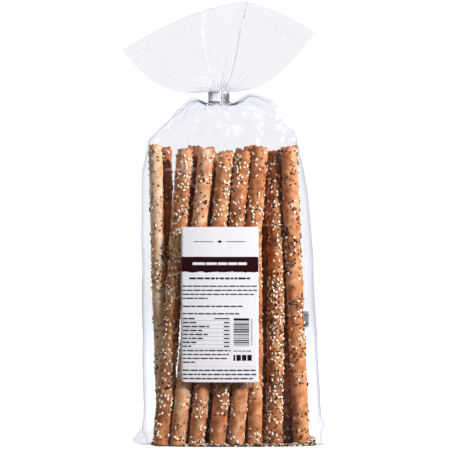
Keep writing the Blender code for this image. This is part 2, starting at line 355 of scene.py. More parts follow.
def front_y(x, z):
    """The film's front at a given x and height."""
    left_x, _, mid_x, _, right_x, _, half_depth = station_at_height(z)
    side = right_x - mid_x if x > mid_x else mid_x - left_x
    share = min(1.0, abs(x - mid_x) / side)
    return -half_depth * (1.0 - share ** CORNER_POWER) ** (1.0 / CORNER_POWER)


def facets(points, size, seed):
    """Crumpled flats: folded waves in scattered directions, bent by soft noise so that no two folds agree."""
    bend = np.stack([noise_at(points, size * 1.6, seed + k) for k in (1.3, 4.7, 9.1)], -1) * size * 0.55
    bent = points + bend
    directions = np.random.default_rng(int(seed * 10)).normal(size=(5, 3)) * (1.0, 0.6, 1.0)
    height = np.zeros(points.shape[:-1])
    for k, direction in enumerate(directions):
        direction = direction / np.linalg.norm(direction)
        height += triangle(bent @ direction / (size * (0.8 + 0.35 * k)) + 0.37 * k) / (1.0 + 0.5 * k)
    return height / 2.6


def creases(height, spacing):
    """How sharply the film is folded at each point, from 0 to 1."""
    bend = np.abs(np.gradient(np.gradient(height, axis=0), axis=0))
    bend += np.abs(np.gradient(np.gradient(height, axis=1), axis=1))
    return np.clip(bend / spacing, 0.0, 1.0)


# ---------------------------------------------------------------- film

FILM_COLUMNS = 280
FILM_STEP = 1.35


def body_rows():
    """Rings of the body at an even spacing along its side."""
    rows = []
    for index in range(len(BODY_STATIONS) - 1):
        here, there = np.array(BODY_STATIONS[index]), np.array(BODY_STATIONS[index + 1])
        run = max(math.hypot(*(there - here)[[0, 1]]), math.hypot(*(there - here)[[4, 5]]))
        steps = max(2, int(round(run / FILM_STEP)))
        rows += [station_at(index, step / steps) for step in range(steps)]
    rows.append(np.array(BODY_STATIONS[-1], float))
    for step in range(1, 8):
        rise = (NECK_TOP - NECK_BOTTOM) * step / 7.0
        neck = np.array(BODY_STATIONS[-1], float)
        neck[[1, 3, 5]] += rise
        rows.append(neck)
    return rows


# Where the front film has been creased, and where glints are painted as white: whiteness, width and the
# path's (x, z) points, in millimetres.
FRONT_CREASES_AND_PAINTED_GLINTS = [
    (4.0, 0.55, (-47.7, 215.6), (-22.9, 215.2)),
    (4.5, 0.60, (-17.5, 230.6), (-9.0, 224.8), (-19.8, 217.8)),
    (4.0, 0.60, (-15.2, 222.4), (-9.4, 224.0)),
    (2.5, 0.80, (-47.7, 245.6), (-33.8, 251.8)),
    (2.5, 0.80, (-50.0, 240.2), (-45.4, 242.6)),
    (3.0, 0.80, (15.1, 259.6), (29.0, 255.0)),
    (2.5, 0.80, (19.8, 257.2), (24.4, 247.2)),
    (2.5, 0.70, (28.2, 252.6), (41.4, 248.0), (49.2, 248.8)),
    (3.0, 0.70, (-14.4, 244.8), (-10.5, 241.0)),
    (3.5, 0.60, (-33.8, 207.0), (-26.0, 207.0)),
    (2.5, 0.60, (-28.4, 205.4), (-22.9, 200.8)),
    (3.0, 0.80, (-58.5, 199.8), (-54.6, 196.2)),
    (2.0, 1.00, (-53.9, 191.4), (-50.0, 174.4)),
    (4.0, 0.80, (-0.4, 265.8), (3.5, 257.3)),
    (4.0, 0.70, (-15.9, 263.5), (-9.7, 259.6)),
    (4.0, 0.80, (10.4, 266.6), (27.5, 261.1), (41.4, 254.9)),
    (4.0, 0.80, (-32.2, 262.7), (-20.6, 265.8)),
    (4.0, 0.80, (-36.1, 254.9), (-23.7, 254.2)),
    # These three are a painted glint: a broad white patch where a shoulder facet would mirror the key light.
    (7.0, 1.40, (-9.0, 251.8), (15.9, 246.4)),
    (7.0, 1.40, (-7.4, 249.5), (10.4, 244.9)),
    (7.0, 1.20, (-4.3, 247.2), (4.2, 243.3)),
    (2.0, 0.80, (66.2, 28.6), (70.9, 13.2)),
    (2.5, 0.80, (63.9, 14.8), (70.1, 9.3)),
    (2.0, 0.80, (63.0, 22.0), (66.5, 8.0)),
    (2.5, 0.70, (70.5, 16.0), (75.8, 9.0), (77.5, 2.0)),
    (2.5, 0.70, (72.0, 9.0), (78.5, 11.0)),
    (2.0, 0.80, (-66.0, 14.0), (-61.0, 4.0)),
    (2.5, 0.70, (-70.0, 9.0), (-62.0, 11.0)),
    (2.5, 0.70, (-69.0, 2.0), (-64.0, 9.0)),
]


def crease_and_painted_glint_lines(points):
    """Whiteness at each point of the film from the creases and painted glints listed above."""
    flat = points[..., [0, 2]]
    white = np.zeros(flat.shape[:-1])
    for strength, width, *path in FRONT_CREASES_AND_PAINTED_GLINTS:
        for start, end in zip(path, path[1:]):
            start, end = np.array(start), np.array(end)
            run = end - start
            share = np.clip((flat - start) @ run / (run @ run), 0.0, 1.0)
            gap = np.linalg.norm(flat - start - share[..., None] * run, axis=-1)
            taper = 0.4 + 0.6 * np.sin(np.pi * share)
            white = np.maximum(white, strength * taper * np.exp(-(gap / width) ** 2))
    return white * (points[..., 1] < 0.0)


def make_film_body(mat):
    rows = body_rows()
    # Columns stand closer together in front than behind.
    even = 2.0 * np.pi * (np.arange(FILM_COLUMNS) + 0.5) / FILM_COLUMNS
    angles = even - 0.3 * np.cos(even)
    points = np.stack([ring(row, angles) for row in rows])
    ears = crumpled_ears(points, ear_push(angles[None, :], points[..., 2]))
    normals = grid_normals(points, closed=True)
    heights = np.array([row[3] for row in rows])[:, None]

    span = np.linalg.norm(np.diff(points[:, 0], axis=0), axis=1)
    travelled = np.concatenate([[0.0], np.cumsum(span)])[:, None]
    start = travelled[int(np.argmax(heights[:, 0] >= SHOULDER_START))]
    end = travelled[int(np.argmax(heights[:, 0] >= 267.5))]
    gather = np.clip((travelled - start) / (end - start), 0.0, 1.0)
    turn = angles[None, :] / (2.0 * np.pi)

    # Pleats gather towards the neck: few and broad on the shoulders, many and narrow at the clip band.
    wander = noise_at(points, 30.0, 3.1) * 0.25
    broad = smoothstep(0.0, 0.5, gather) * smoothstep(1.05, 0.7, gather)
    narrow = smoothstep(0.3, 0.8, gather) * smoothstep(1.08, 0.9, gather)
    pleats = triangle(9 * turn + 1.5 * wander + 0.2) * 1.7 * broad
    pleats += triangle(19 * turn + 2.0 * wander) * 1.0 * narrow
    pleats += triangle(31 * turn + wander) * 0.45 * smoothstep(0.7, 0.95, gather)
    # Crumples: strong on the shoulders, soft on the body, and sharp again at the bottom corners.
    shoulder = smoothstep(205.0, 245.0, points[..., 2]) * smoothstep(1.0, 0.75, gather)
    bottom = smoothstep(34.0, 8.0, points[..., 2]) * smoothstep(0.0, 4.0, points[..., 2])
    side = smoothstep(0.72, 0.95, np.abs(np.cos(angles)))[None, :]
    height = pleats
    height += facets(points, 26.0, 2.3) * (0.4 + 2.0 * shoulder + 1.3 * bottom + 0.3 * side)
    height += facets(points, 11.0, 6.1) * (0.05 + 0.75 * shoulder + 1.3 * bottom * side)
    # One level fold where the film bends over the tops of the sticks.
    fold = np.exp(-((points[..., 2] - 215.0 - 1.5 * noise_at(points, 40.0, 8.0)) / 1.3) ** 2)
    height += 0.7 * fold * smoothstep(12.0, -18.0, points[..., 0])
    # Nothing stands out under the label, and the film stays in its box.
    calm_x = smoothstep(label_low[0] - 6.0, label_low[0] + 2.0, points[..., 0])
    calm_x *= smoothstep(label_high[0] + 6.0, label_high[0] - 2.0, points[..., 0])
    calm_z = smoothstep(label_low[2] - 6.0, label_low[2] + 2.0, points[..., 2])
    calm_z *= smoothstep(label_high[2] + 6.0, label_high[2] - 2.0, points[..., 2])
    height = height * (1.0 - calm_x * calm_z * (points[..., 1] < 0.0))
    height -= 0.8 * calm_x * calm_z * (points[..., 1] < 0.0)
    height *= smoothstep(-0.5, 5.0, points[..., 2])
    height = np.minimum(height, 2.6)
    points += normals * height[..., None]
    points[..., 2] = np.maximum(points[..., 2], 0.05)

    count = FILM_COLUMNS
    verts = points.reshape(-1, 3)
    faces = grid_faces(len(rows), count, closed=True)
    # The bottom: the first ring drawn in to a line of points along its middle, a little above the surface.
    base = points[0]
    inner = []
    for share in (0.75, 0.45, 0.15):
        loop = base * (1.0, share, 1.0)
        loop[:, 2] = 0.05 + 0.5 * np.abs(noise_at(loop, 9.0, 5.0)) + 0.25
        inner.append(loop)
    first = len(verts)
    verts = np.concatenate([verts, *inner])
    last = first + 2 * count
    faces += [[(i + 1) % count, i, first + i, first + (i + 1) % count] for i in range(count)]
    faces += grid_faces(3, count, closed=True, first=first, flip=True)
    half = count // 2
    faces += [[last + i, last + i + 1, last + count - 2 - i, last + count - 1 - i] for i in range(half - 1)]
    film = new_piece("film_body", verts, faces, mat)
    fold_and_glint_lines = np.zeros(len(verts))
    gathered = 9.0 * smoothstep(0.96, 1.0, gather)
    # Painted glints from the list above go into the film's whiteness along with the real creases.
    fold_and_glint_lines[:first] = (creases(height, 0.9) + crease_and_painted_glint_lines(points) + gathered + ears).ravel()
    set_values(film, "crease_and_glint_white", fold_and_glint_lines)
    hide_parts("bag")
    return film


FAN_LEFT = ((-54.0, 269.5), (-82.0, 310.5))
FAN_MIDDLE = ((2.0, 312.0), (14.6, 348.0))
FAN_RIGHT = ((36.0, 274.0), (69.6, 324.2))
FAN_CROWN_POWER = 1.55
FAN_COLUMNS = 224
FAN_ROWS = 96
SEAL_HEIGHT = 13.0
RIB_PITCH = 1.6


def bezier(start, guide, end, t):
    start, guide, end = (np.array(p, float) for p in (start, guide, end))
    t = np.asarray(t)[:, None]
    return (1 - t) ** 2 * start + 2 * t * (1 - t) * guide + t * t * end


def fan_sheet(side, seed):
    """One layer of the fan above the neck, in front (side -1) or behind (side 1), with its folding."""
    up = np.concatenate([np.linspace(0.0, 0.80, FAN_ROWS - 40, endpoint=False), np.linspace(0.80, 1.0, 40)])
    across = np.linspace(-1.0, 1.0, FAN_COLUMNS)
    left = bezier((NECK_LEFT, NECK_TOP), *FAN_LEFT, up)
    middle = bezier((NECK_MIDDLE, NECK_TOP), *FAN_MIDDLE, up)
    right = bezier((NECK_RIGHT, NECK_TOP), *FAN_RIGHT, up)
    reach = np.abs(across)[None, :]
    edge = np.where(across[None, :, None] > 0.0, right[:, None, :], left[:, None, :])
    spot = middle[:, None, :] + (edge - middle[:, None, :]) * np.stack(
        np.broadcast_arrays(reach, reach ** FAN_CROWN_POWER), -1)
    v = np.broadcast_to(up[:, None], spot.shape[:2])
    u = np.broadcast_to(across[None, :], spot.shape[:2])
    swell = 3.6 * np.sin(np.pi * np.clip(v / 0.86, 0, 1)) * (1.0 - reach ** 2)
    puff = NECK_HALF_DEPTH * (1.0 - v) ** 2.2 + swell
    shell = side * puff * (1.0 - reach ** CORNER_POWER) ** (1.0 / CORNER_POWER)
    points = np.stack([spot[..., 0], shell, spot[..., 1]], -1)

    wander = noise_at(points * (1.0, 0.0, 0.5), 26.0, seed) * 0.30
    free = smoothstep(1.0, 0.82, v)
    # Pleats open out of the clip band and each fades at its own height before the seal.
    spread = np.stack([u * 2.2 + seed, np.zeros_like(u), np.zeros_like(u)], -1)
    fade = v / (0.34 + 0.30 * noise_at(spread, 1.0, seed))
    pleats = triangle(7.0 * u + 4.0 * wander + seed) * 1.6
    pleats = pleats * smoothstep(0.0, 0.3, fade) * smoothstep(1.2, 0.3, fade)
    pleats += triangle(15.0 * u + 5.0 * wander) * 0.6 * smoothstep(0.8, 0.0, fade)
    height = pleats + facets(points, 30.0, seed) * 1.3 * free * smoothstep(0.1, 0.4, v)
    height += facets(points, 13.0, seed + 1.9) * 0.35 * free * smoothstep(0.1, 0.4, v)
    height += facets(points, 6.0, seed + 5.2) * 0.45 * smoothstep(0.0, 0.05, v) * smoothstep(0.45, 0.1, v)
    # Both layers share the two long folds that run from the neck to the seal, and the seal's level ribs.
    lean = 0.04 * noise_at(points * (0.0, 0.0, 1.0), 30.0, 4.0)
    bends = 2.5 * v * np.sin(np.pi * 1.2 * u)
    for middle, drift, wide in ((-0.35, 0.0, 1.6), (0.02, 0.42, 2.0)):
        t = np.clip((u + lean - middle - drift * (1.0 - v) ** 1.5) / 0.07, -1.0, 1.0)
        fold = np.interp(t, (-1.0, -0.35, 0.35, 1.0), (0.0, 1.0, -1.0, 0.0))
        points[..., 0] += wide * (0.3 + 0.7 * v) * smoothstep(0.0, 0.15, v) * fold
        bends += 0.5 * np.sin(np.pi * t)
    below_top = (1.0 - v) * 72.0
    ribs = 0.55 * np.sin(2.0 * np.pi * below_top / RIB_PITCH)
    ribs *= smoothstep(3.6, 4.4, below_top) * smoothstep(SEAL_HEIGHT, SEAL_HEIGHT - 0.8, below_top)
    points[..., 1] += bends + height + ribs + side * 0.06 * (1.0 - free)
    points[..., 0] += 0.5 * height * np.sign(u) * (1.0 - v)
    # The cut edge is pinked: every other point of the top row is lower.
    points[-1, ::2, 2] -= 0.9
    white = creases(height, 0.9) + 0.35 * (below_top < SEAL_HEIGHT) + 2.4 * np.clip(ribs, 0.0, 1.0)
    return points, white + 2.0 * smoothstep(0.08, 0.0, v) + 5.0 * smoothstep(0.03, 0.0, v)


def make_film_fan(mat):
    verts, faces, fold_and_glint_lines = [], [], []
    for side, seed in ((-1, 2.7), (1, 7.4)):
        points, lines = fan_sheet(side, seed)
        faces += grid_faces(FAN_ROWS, FAN_COLUMNS, closed=False, first=sum(map(len, verts)), flip=side > 0)
        verts.append(points.reshape(-1, 3))
        fold_and_glint_lines.append(lines.ravel())
    fan = new_piece("film_fan", np.concatenate(verts), faces, mat)
    set_values(fan, "crease_and_glint_white", np.concatenate(fold_and_glint_lines))
    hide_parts("bag")
    return fan


# ---------------------------------------------------------------- breadsticks

STICK_RINGS = 190
STICK_AROUND = 36

# Each stick: name, foot (x, y), top (x, y), bow to the right at half height, top height, radius,
# browning, then how many sesame, poppy and flax seeds it carries.
STICKS = [
    ("a", (-48.6, -4.0), (-55.6, -7.5), -0.8, 235.5, 5.5, 0.02, 70, 210, 5),
    ("b", (-51.0, -13.0), (-32.2, -10.5), 0.2, 232.6, 6.2, 0.32, 320, 130, 5),
    ("c", (-37.9, -14.5), (-15.2, -11.5), 0.3, 233.4, 6.1, 0.18, 120, 230, 4),
    ("d", (-23.8, -15.0), (-0.4, -12.0), 0.3, 230.6, 6.3, 0.34, 260, 100, 5),
    ("e", (-7.6, -15.0), (13.1, -11.0), 0.0, 231.8, 6.2, 0.38, 260, 110, 5),
    ("f", (7.0, -14.5), (26.2, -11.0), 0.0, 234.2, 6.3, 0.36, 170, 130, 13),
    ("g", (21.8, -13.5), (18.6, 0.5), 2.3, 234.6, 5.8, 0.38, 130, 100, 4),
    ("h", (36.5, -11.5), (38.0, 2.0), 1.5, 231.4, 6.3, 0.40, 300, 440, 8),
    ("i", (59.0, -3.0), (48.9, -6.0), -0.5, 234.6, 6.2, 0.33, 110, 330, 14),
    ("j", (-44.5, 8.5), (-49.0, 5.5), 0.0, 234.2, 5.9, 0.36, 110, 130, 4),
    ("k", (-31.5, 6.5), (-24.4, 6.0), 0.0, 235.2, 6.1, 0.50, 160, 120, 4),
    ("l", (-15.4, 6.0), (-8.6, 8.0), 0.0, 230.0, 6.1, 0.46, 150, 120, 4),
    ("m", (-0.6, 6.0), (4.5, 8.0), 0.0, 229.0, 6.2, 0.54, 180, 110, 4),
    ("n", (28.3, 6.5), (31.2, 10.5), 0.0, 228.0, 6.1, 0.52, 150, 100, 4),
    ("o", (14.3, 6.0), (17.0, 13.5), 0.0, 229.0, 6.2, 0.52, 170, 140, 4),
    ("p", (48.2, 5.5), (44.4, 12.5), 0.0, 229.0, 6.3, 0.46, 170, 120, 4),
]


def stick_grid(index, foot, top, bow, height, radius):
    """Rings of one stick from its foot to its top, with its own lumps, bends and rough ends."""
    seed = 11.0 + 7.3 * index
    along = np.linspace(0.0, 1.0, STICK_RINGS)
    turn = 2.0 * np.pi * np.arange(STICK_AROUND) / STICK_AROUND
    start = np.array([foot[0], foot[1], 0.6])
    end = np.array([top[0], top[1], height])
    middle = start + (end - start) * along[:, None]
    up = np.stack([np.zeros_like(along), np.zeros_like(along), along * height], -1)
    middle[:, 0] += (bow + 0.5 * noise_at(up, 60.0, seed)) * np.sin(np.pi * along)
    middle[:, 1] += 0.9 * noise_at(up, 75.0, seed + 3.0) * np.sin(np.pi * along)
    circle = np.stack([np.cos(turn), np.sin(turn), 0 * turn], -1)
    flat = middle[:, None, :] + circle[None, :, :] * radius
    own = flat - (start * (1, 1, 0))
    size = radius * (1.0 + 0.055 * noise_at(own * (0.4, 0.4, 1.0), 26.0, seed)
                     + 0.050 * noise_at(own, 9.0, seed + 1.0))
    near_top = smoothstep(6.0, 0.0, (1.0 - along) * height)[:, None]
    size += (0.30 + 0.7 * near_top) * noise_at(own, 3.0, seed + 2.0)
    # A slight oval, turned by chance, and ends that round off over the last 2 mm.
    size *= 1.0 + 0.05 * np.cos(2.0 * (turn[None, :] - seed))
    near_end = np.minimum(along, 1.0 - along) * height
    size *= (1.0 - 0.10 * (1.0 - smoothstep(0.0, 2.4, near_end)))[:, None]
    points = middle[:, None, :] + circle[None, :, :] * size[..., None]
    return points, seed


def stick_end(ring_points, upward, seed):
    """Rings that close one end: torn crumb, lower towards its middle."""
    middle = ring_points.mean(0)
    rings = []
    for share in (0.90, 0.70, 0.45, 0.20):
        loop = middle + (ring_points - middle) * share
        rough = 1.3 * noise_at(loop, 2.2, seed) - 0.5 * (1.0 - share)
        loop[:, 2] = ring_points[:, 2] * share + middle[2] * (1 - share) + (rough if upward else -0.3 * rough)
        rings.append(loop)
    return rings


def make_stick(index, row, mat):
    name, foot, top, bow, height, radius, browning = row[:7]
    points, seed = stick_grid(index, foot, top, bow, height, radius)
    # The top is torn, not cut: a slanted, ragged rim whose teeth reach down over the last rings.
    slant = Vector((math.cos(seed), math.sin(seed), 0.0)) * 0.16
    rim = points[-1] - points[-1].mean(0)
    ragged = 1.8 * noise_at(points[-1], 2.1, seed + 5.0) + rim @ np.array(slant) - 0.9
    for step, share in enumerate((1.0, 0.75, 0.5, 0.3, 0.12)):
        points[-1 - step, :, 2] += share * ragged
    feet = stick_end(points[0], False, seed)
    tips = stick_end(points[-1], True, seed + 9.0)
    loops = [*reversed(feet), *points, *tips]
    loops = np.stack(loops)
    loops[..., 2] = np.maximum(loops[..., 2], 0.45)
    count = STICK_AROUND
    verts = np.concatenate([loops.reshape(-1, 3), loops[:1].mean(1), loops[-1:].mean(1)])
    faces = grid_faces(len(loops), count, closed=True)
    low_tip, high_tip = len(verts) - 2, len(verts) - 1
    last = (len(loops) - 1) * count
    faces += [[(i + 1) % count, i, low_tip] for i in range(count)]
    faces += [[last + i, last + (i + 1) % count, high_tip] for i in range(count)]
    stick = new_piece("breadstick_" + name, verts, faces, mat)
    own = verts - np.array([foot[0], foot[1], 0.0])
    bake = browning + 0.16 * noise_at(own, 22.0, seed) + 0.10 * noise_at(own, 8.0, seed + 4.0)
    # Rims of the ends brown more.
    rim = smoothstep(3.0, 0.5, np.minimum(own[:, 2], height - own[:, 2]))
    bake += 0.22 * rim
    set_values(stick, "bake", bake)
    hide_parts("bag")
    return points


# ---------------------------------------------------------------- seeds and crumbs

def seed_shape(length, width, thickness, around, profile):
    """One seed along X, flat in XY: points and triangles from (share of length, share of width) rings."""
    turn = 2.0 * np.pi * np.arange(around) / around
    verts = [(-length / 2.0, 0.0, 0.0)]
    for share, full in profile:
        for a in turn:
            verts.append((length * (share - 0.5), width / 2.0 * full * math.cos(a),
                          thickness / 2.0 * full * math.sin(a)))
    verts.append((length / 2.0, 0.0, 0.0))
    last = len(verts) - 1
    faces = [[0, 1 + (i + 1) % around, 1 + i] for i in range(around)]
    faces += [list(q) for q in grid_faces(len(profile), around, closed=True, first=1)]
    low = last - around
    faces += [[low + i, low + (i + 1) % around, last] for i in range(around)]
    return np.array(verts), faces


# Sesame, flax and crumbs are true to size. A poppy seed is about 1 mm across, too fine to show,
# so it is drawn half as large again.
SESAME = seed_shape(3.0, 1.8, 1.0, 6, [(0.10, 0.66), (0.36, 1.0), (0.78, 0.58)])
POPPY = seed_shape(1.5, 1.35, 1.15, 6, [(0.12, 0.66), (0.5, 1.0), (0.88, 0.66)])
FLAX = seed_shape(4.8, 2.7, 1.2, 8, [(0.06, 0.42), (0.24, 0.86), (0.5, 1.0), (0.76, 0.78), (0.94, 0.36)])
CRUMB = seed_shape(1.3, 1.0, 0.8, 5, [(0.2, 0.9), (0.7, 0.8)])


def seed_spots(points, count, cluster, apart, generator, seed):
    """Places on a stick's skin, in soft bunches but a little apart, with the ways out and along it."""
    normals = grid_normals(points, closed=True)
    along = np.gradient(points, axis=0)
    chosen = np.zeros((count, 2), int)
    taken = np.full((count, 3), 1e6)
    found = 0
    for _ in range(count * 30):
        i = int(generator.integers(3, points.shape[0] - 3))
        j = int(generator.integers(0, points.shape[1]))
        spot = points[i, j]
        bunch = noise.noise(Vector(spot / 17.0 + seed)) + 0.5 * noise.noise(Vector(spot / 6.0 + seed))
        if generator.random() < np.clip(0.5 + cluster * bunch, 0.04, 1.0):
            if ((taken - spot) ** 2).sum(1).min() > apart ** 2:
                chosen[found] = i, j
                taken[found] = spot
                found += 1
        if found == count:
            break
    i, j = chosen[:found].T
    return points[i, j], normals[i, j], along[i, j]


def laid_seeds(shape, spots, normals, along, spread, sink, generator):
    """Copies of a seed laid flat on their spots, each turned, tilted and sized a little differently."""
    count = len(spots)
    along = along / np.linalg.norm(along, axis=1, keepdims=True)
    sideways = np.cross(normals, along)
    turn = generator.normal(0.0, spread, count)[:, None]
    length_way = along * np.cos(turn) + sideways * np.sin(turn)
    tilt = generator.normal(0.0, 0.16, count)[:, None]
    length_way = length_way * np.cos(tilt) + normals * np.sin(tilt)
    length_way /= np.linalg.norm(length_way, axis=1, keepdims=True)
    width_way = np.cross(normals, length_way)
    width_way /= np.linalg.norm(width_way, axis=1, keepdims=True)
    up = np.cross(length_way, width_way)
    scale = generator.normal(1.0, 0.09, (count, 3)).clip(0.75, 1.25)
    local = shape[0][None] * scale[:, None, :]
    frame_of = np.stack([length_way, width_way, up], 1)
    laid = np.einsum("nvk,nkd->nvd", local, frame_of) + (spots + normals * sink)[:, None, :]
    laid[..., 2] = np.maximum(laid[..., 2], 0.05)
    return laid


def make_seeds(name, shape, groups, mat):
    """All the seeds of one kind as one joined mesh, each with its own tone."""
    copies = np.concatenate(groups)
    per = shape[0].shape[0]
    faces = [[k * per + v for v in face] for k in range(len(copies)) for face in shape[1]]
    piece = new_piece(name, copies.reshape(-1, 3), faces, mat)
    tones = np.random.default_rng(len(copies)).random(len(copies))
    set_values(piece, "tone", np.repeat(tones, per))
    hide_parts("bag")
    return piece


def floor_spots(count, generator, kind):
    """Places on the bag's floor: along the front fold, and heaped in the corners."""
    spots = []
    while len(spots) < count:
        pick = generator.random()
        if kind == "heap" or pick < 0.34:
            x = 70.0 - abs(generator.normal(0.0, 7.0))
            y = generator.normal(0.0, 7.0)
            z = 0.7 + 4.2 * math.exp(-((x - 68.0) / 7.0) ** 2) * generator.random()
        elif pick < 0.46:
            x = -59.0 + abs(generator.normal(0.0, 5.0))
            y = generator.normal(-4.0, 6.0)
            z = 0.6 + 1.0 * generator.random()
        else:
            x = generator.uniform(-58.0, 70.0)
            edge = front_y(x, 2.0)
            y = edge + 1.2 + abs(generator.normal(0.0, 1.6))
            z = 0.8 + 2.0 * generator.random() ** 2
        if -62.0 < x < 74.0 and abs(y) < -front_y(x, 2.0) - 0.6:
            spots.append((x, y, z))
    return np.array(spots)


def flat_on_floor(shape, spots, generator):
    count = len(spots)
    up = np.tile([0.0, 0.0, 1.0], (count, 1)) + generator.normal(0.0, 0.25, (count, 3))
    up /= np.linalg.norm(up, axis=1, keepdims=True)
    way = np.cross(up, generator.normal(0.0, 1.0, (count, 3)))
    return laid_seeds(shape, spots, up, way, 1.5, 0.0, generator)


def make_contents():
    crust = crust_material()
    sesame_coat = seed_material("hulled_sesame_coat", [(0.1, "#EBD3A4"), (0.6, "#F8EBCB"),
                                                      (1.0, "#FDF6E2")], 0.42)
    poppy_coat = seed_material("poppy_seed_coat", [(0.1, "#08070A"), (1.0, "#1A1518")], 0.7)
    flax_coat = seed_material("flax_seed_coat", [(0.1, "#2A1410"), (1.0, "#4A2A1C")], 0.25)
    # Crumbs run from dark to toasted brown; the darkest tone also stands for painted shade along the bag's
    # bottom edge.
    crumb_and_shade_coat = seed_material("toasted_crumb_and_painted_shade", [(0.1, "#2E150B"), (0.5, "#6B3A1E"), (1.0, "#B87F4D")], 0.8)
    sesame, poppy, flax, crumbs = [], [], [], []
    for index, row in enumerate(STICKS):
        points = make_stick(index, row, crust)
        generator = np.random.default_rng(100 + index)
        for count, shape, groups, cluster, apart, sink, spread in (
                (int(1.5 * row[7]), SESAME, sesame, 1.2, 1.9, 0.20, 0.75),
                (int(1.2 * row[8]), POPPY, poppy, 0.9, 1.2, 0.28, 1.5),
                (row[9], FLAX, flax, 0.0, 4.0, 0.24, 0.7)):
            spots, normals, along = seed_spots(points, count, cluster, apart, generator, 3.0 + index)
            groups.append(laid_seeds(shape, spots, normals, along, spread, sink, generator))
        spots, normals, along = seed_spots(points, 26, 0.5, 1.0, generator, 8.0 + index)
        crumbs.append(laid_seeds(CRUMB, spots, normals, along, 1.5, 0.15, generator))
    generator = np.random.default_rng(77)
    sesame.append(flat_on_floor(SESAME, floor_spots(330, generator, "spread"), generator))
    sesame.append(flat_on_floor(SESAME, floor_spots(110, generator, "heap"), generator))
    poppy.append(flat_on_floor(POPPY, floor_spots(260, generator, "spread"), generator))
    # A dense strip of dark crumbs along the front fold: partly real crumbs, partly painted shade where the
    # bag's bottom edge meets the floor.
    crumbs.append(flat_on_floor(CRUMB, floor_spots(1800, generator, "spread"), generator))
    make_seeds("sesame_seeds", SESAME, sesame, sesame_coat)
    make_seeds("poppy_seeds", POPPY, poppy, poppy_coat)
    make_seeds("flax_seeds", FLAX, flax, flax_coat)
    make_seeds("crumbs", CRUMB, crumbs, crumb_and_shade_coat)


# ---------------------------------------------------------------- label, sticker and clip band

PAPER_LIFT = 0.55
INK_LIFT = 0.04
LABEL_MIDDLE = ((label_low[0] + label_high[0]) / 2.0, (label_low[2] + label_high[2]) / 2.0)
LABEL_HALF = ((label_high[0] - label_low[0]) / 2.0, (label_high[2] - label_low[2]) / 2.0)


def on_label(dx, dz, lift):
    """The point over the bag's front at an offset from the label's middle."""
    x, z = LABEL_MIDDLE[0] + dx, LABEL_MIDDLE[1] + dz
    wave = 0.10 * noise.noise(Vector((x / 22.0, z / 30.0, 2.0)))
    return (x, front_y(x, z) - lift - wave, z)


def rounded_half_width(dz, half, corner):
    over = abs(dz) - (half[1] - corner)
    if over <= 0.0:
        return half[0]
    return half[0] - corner + math.sqrt(max(corner ** 2 - over ** 2, 0.0))


def make_label(mat):
    corner = 2.2
    heights = np.concatenate([
        -LABEL_HALF[1] + corner * (1 - np.cos(np.linspace(0.0, np.pi / 2, 7))),
        np.linspace(-LABEL_HALF[1] + corner, LABEL_HALF[1] - corner, 62)[1:-1],
        LABEL_HALF[1] - corner * (1 - np.cos(np.linspace(np.pi / 2, 0.0, 7)))])
    columns = 33
    layers = []
    for lift in (PAPER_LIFT, PAPER_LIFT - 0.12):
        layers.append([on_label(x, dz, lift) for dz in heights
                       for x in np.linspace(-1, 1, columns) * rounded_half_width(dz, LABEL_HALF, corner)])
    rows = len(heights)
    per = rows * columns
    faces = grid_faces(rows, columns, closed=False)
    faces = faces + grid_faces(rows, columns, closed=False, first=per, flip=True)
    rim = list(range(columns)) + [r * columns + columns - 1 for r in range(1, rows)]
    rim += [(rows - 1) * columns + c for c in reversed(range(columns - 1))]
    rim += [r * columns for r in reversed(range(1, rows - 1))]
    faces += [[b, a, a + per, b + per] for a, b in zip(rim, rim[1:] + rim[:1])]
    label = new_piece("paper_label", layers[0] + layers[1], faces, mat)
    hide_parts("label")
    return label


def ink_patch(print_job, left, right, low, high, edge=None):
    """A printed field between two offsets across and two up; edge lowers its bottom line."""
    verts, faces = print_job
    columns = max(1, int((right - left) / 1.5))
    rows = max(1, int((high - low) / 4.0))
    first = len(verts)
    for r in range(rows + 1):
        for c in range(columns + 1):
            dx = left + (right - left) * c / columns
            bottom = low - (edge(dx) if edge else 0.0)
            verts.append(on_label(dx, bottom + (high - bottom) * r / rows, PAPER_LIFT + INK_LIFT))
    faces += grid_faces(rows + 1, columns + 1, closed=False, first=first)


def word_line(print_job, left, right, height, thick, generator, words=(2.0, 6.0)):
    """A line of stand-in text: plain bars of uneven length."""
    x = left
    while x < right - 1.2:
        span = min(generator.uniform(*words), right - x)
        ink_patch(print_job, x, x + span, height - thick / 2.0, height + thick / 2.0)
        x += span + 0.7


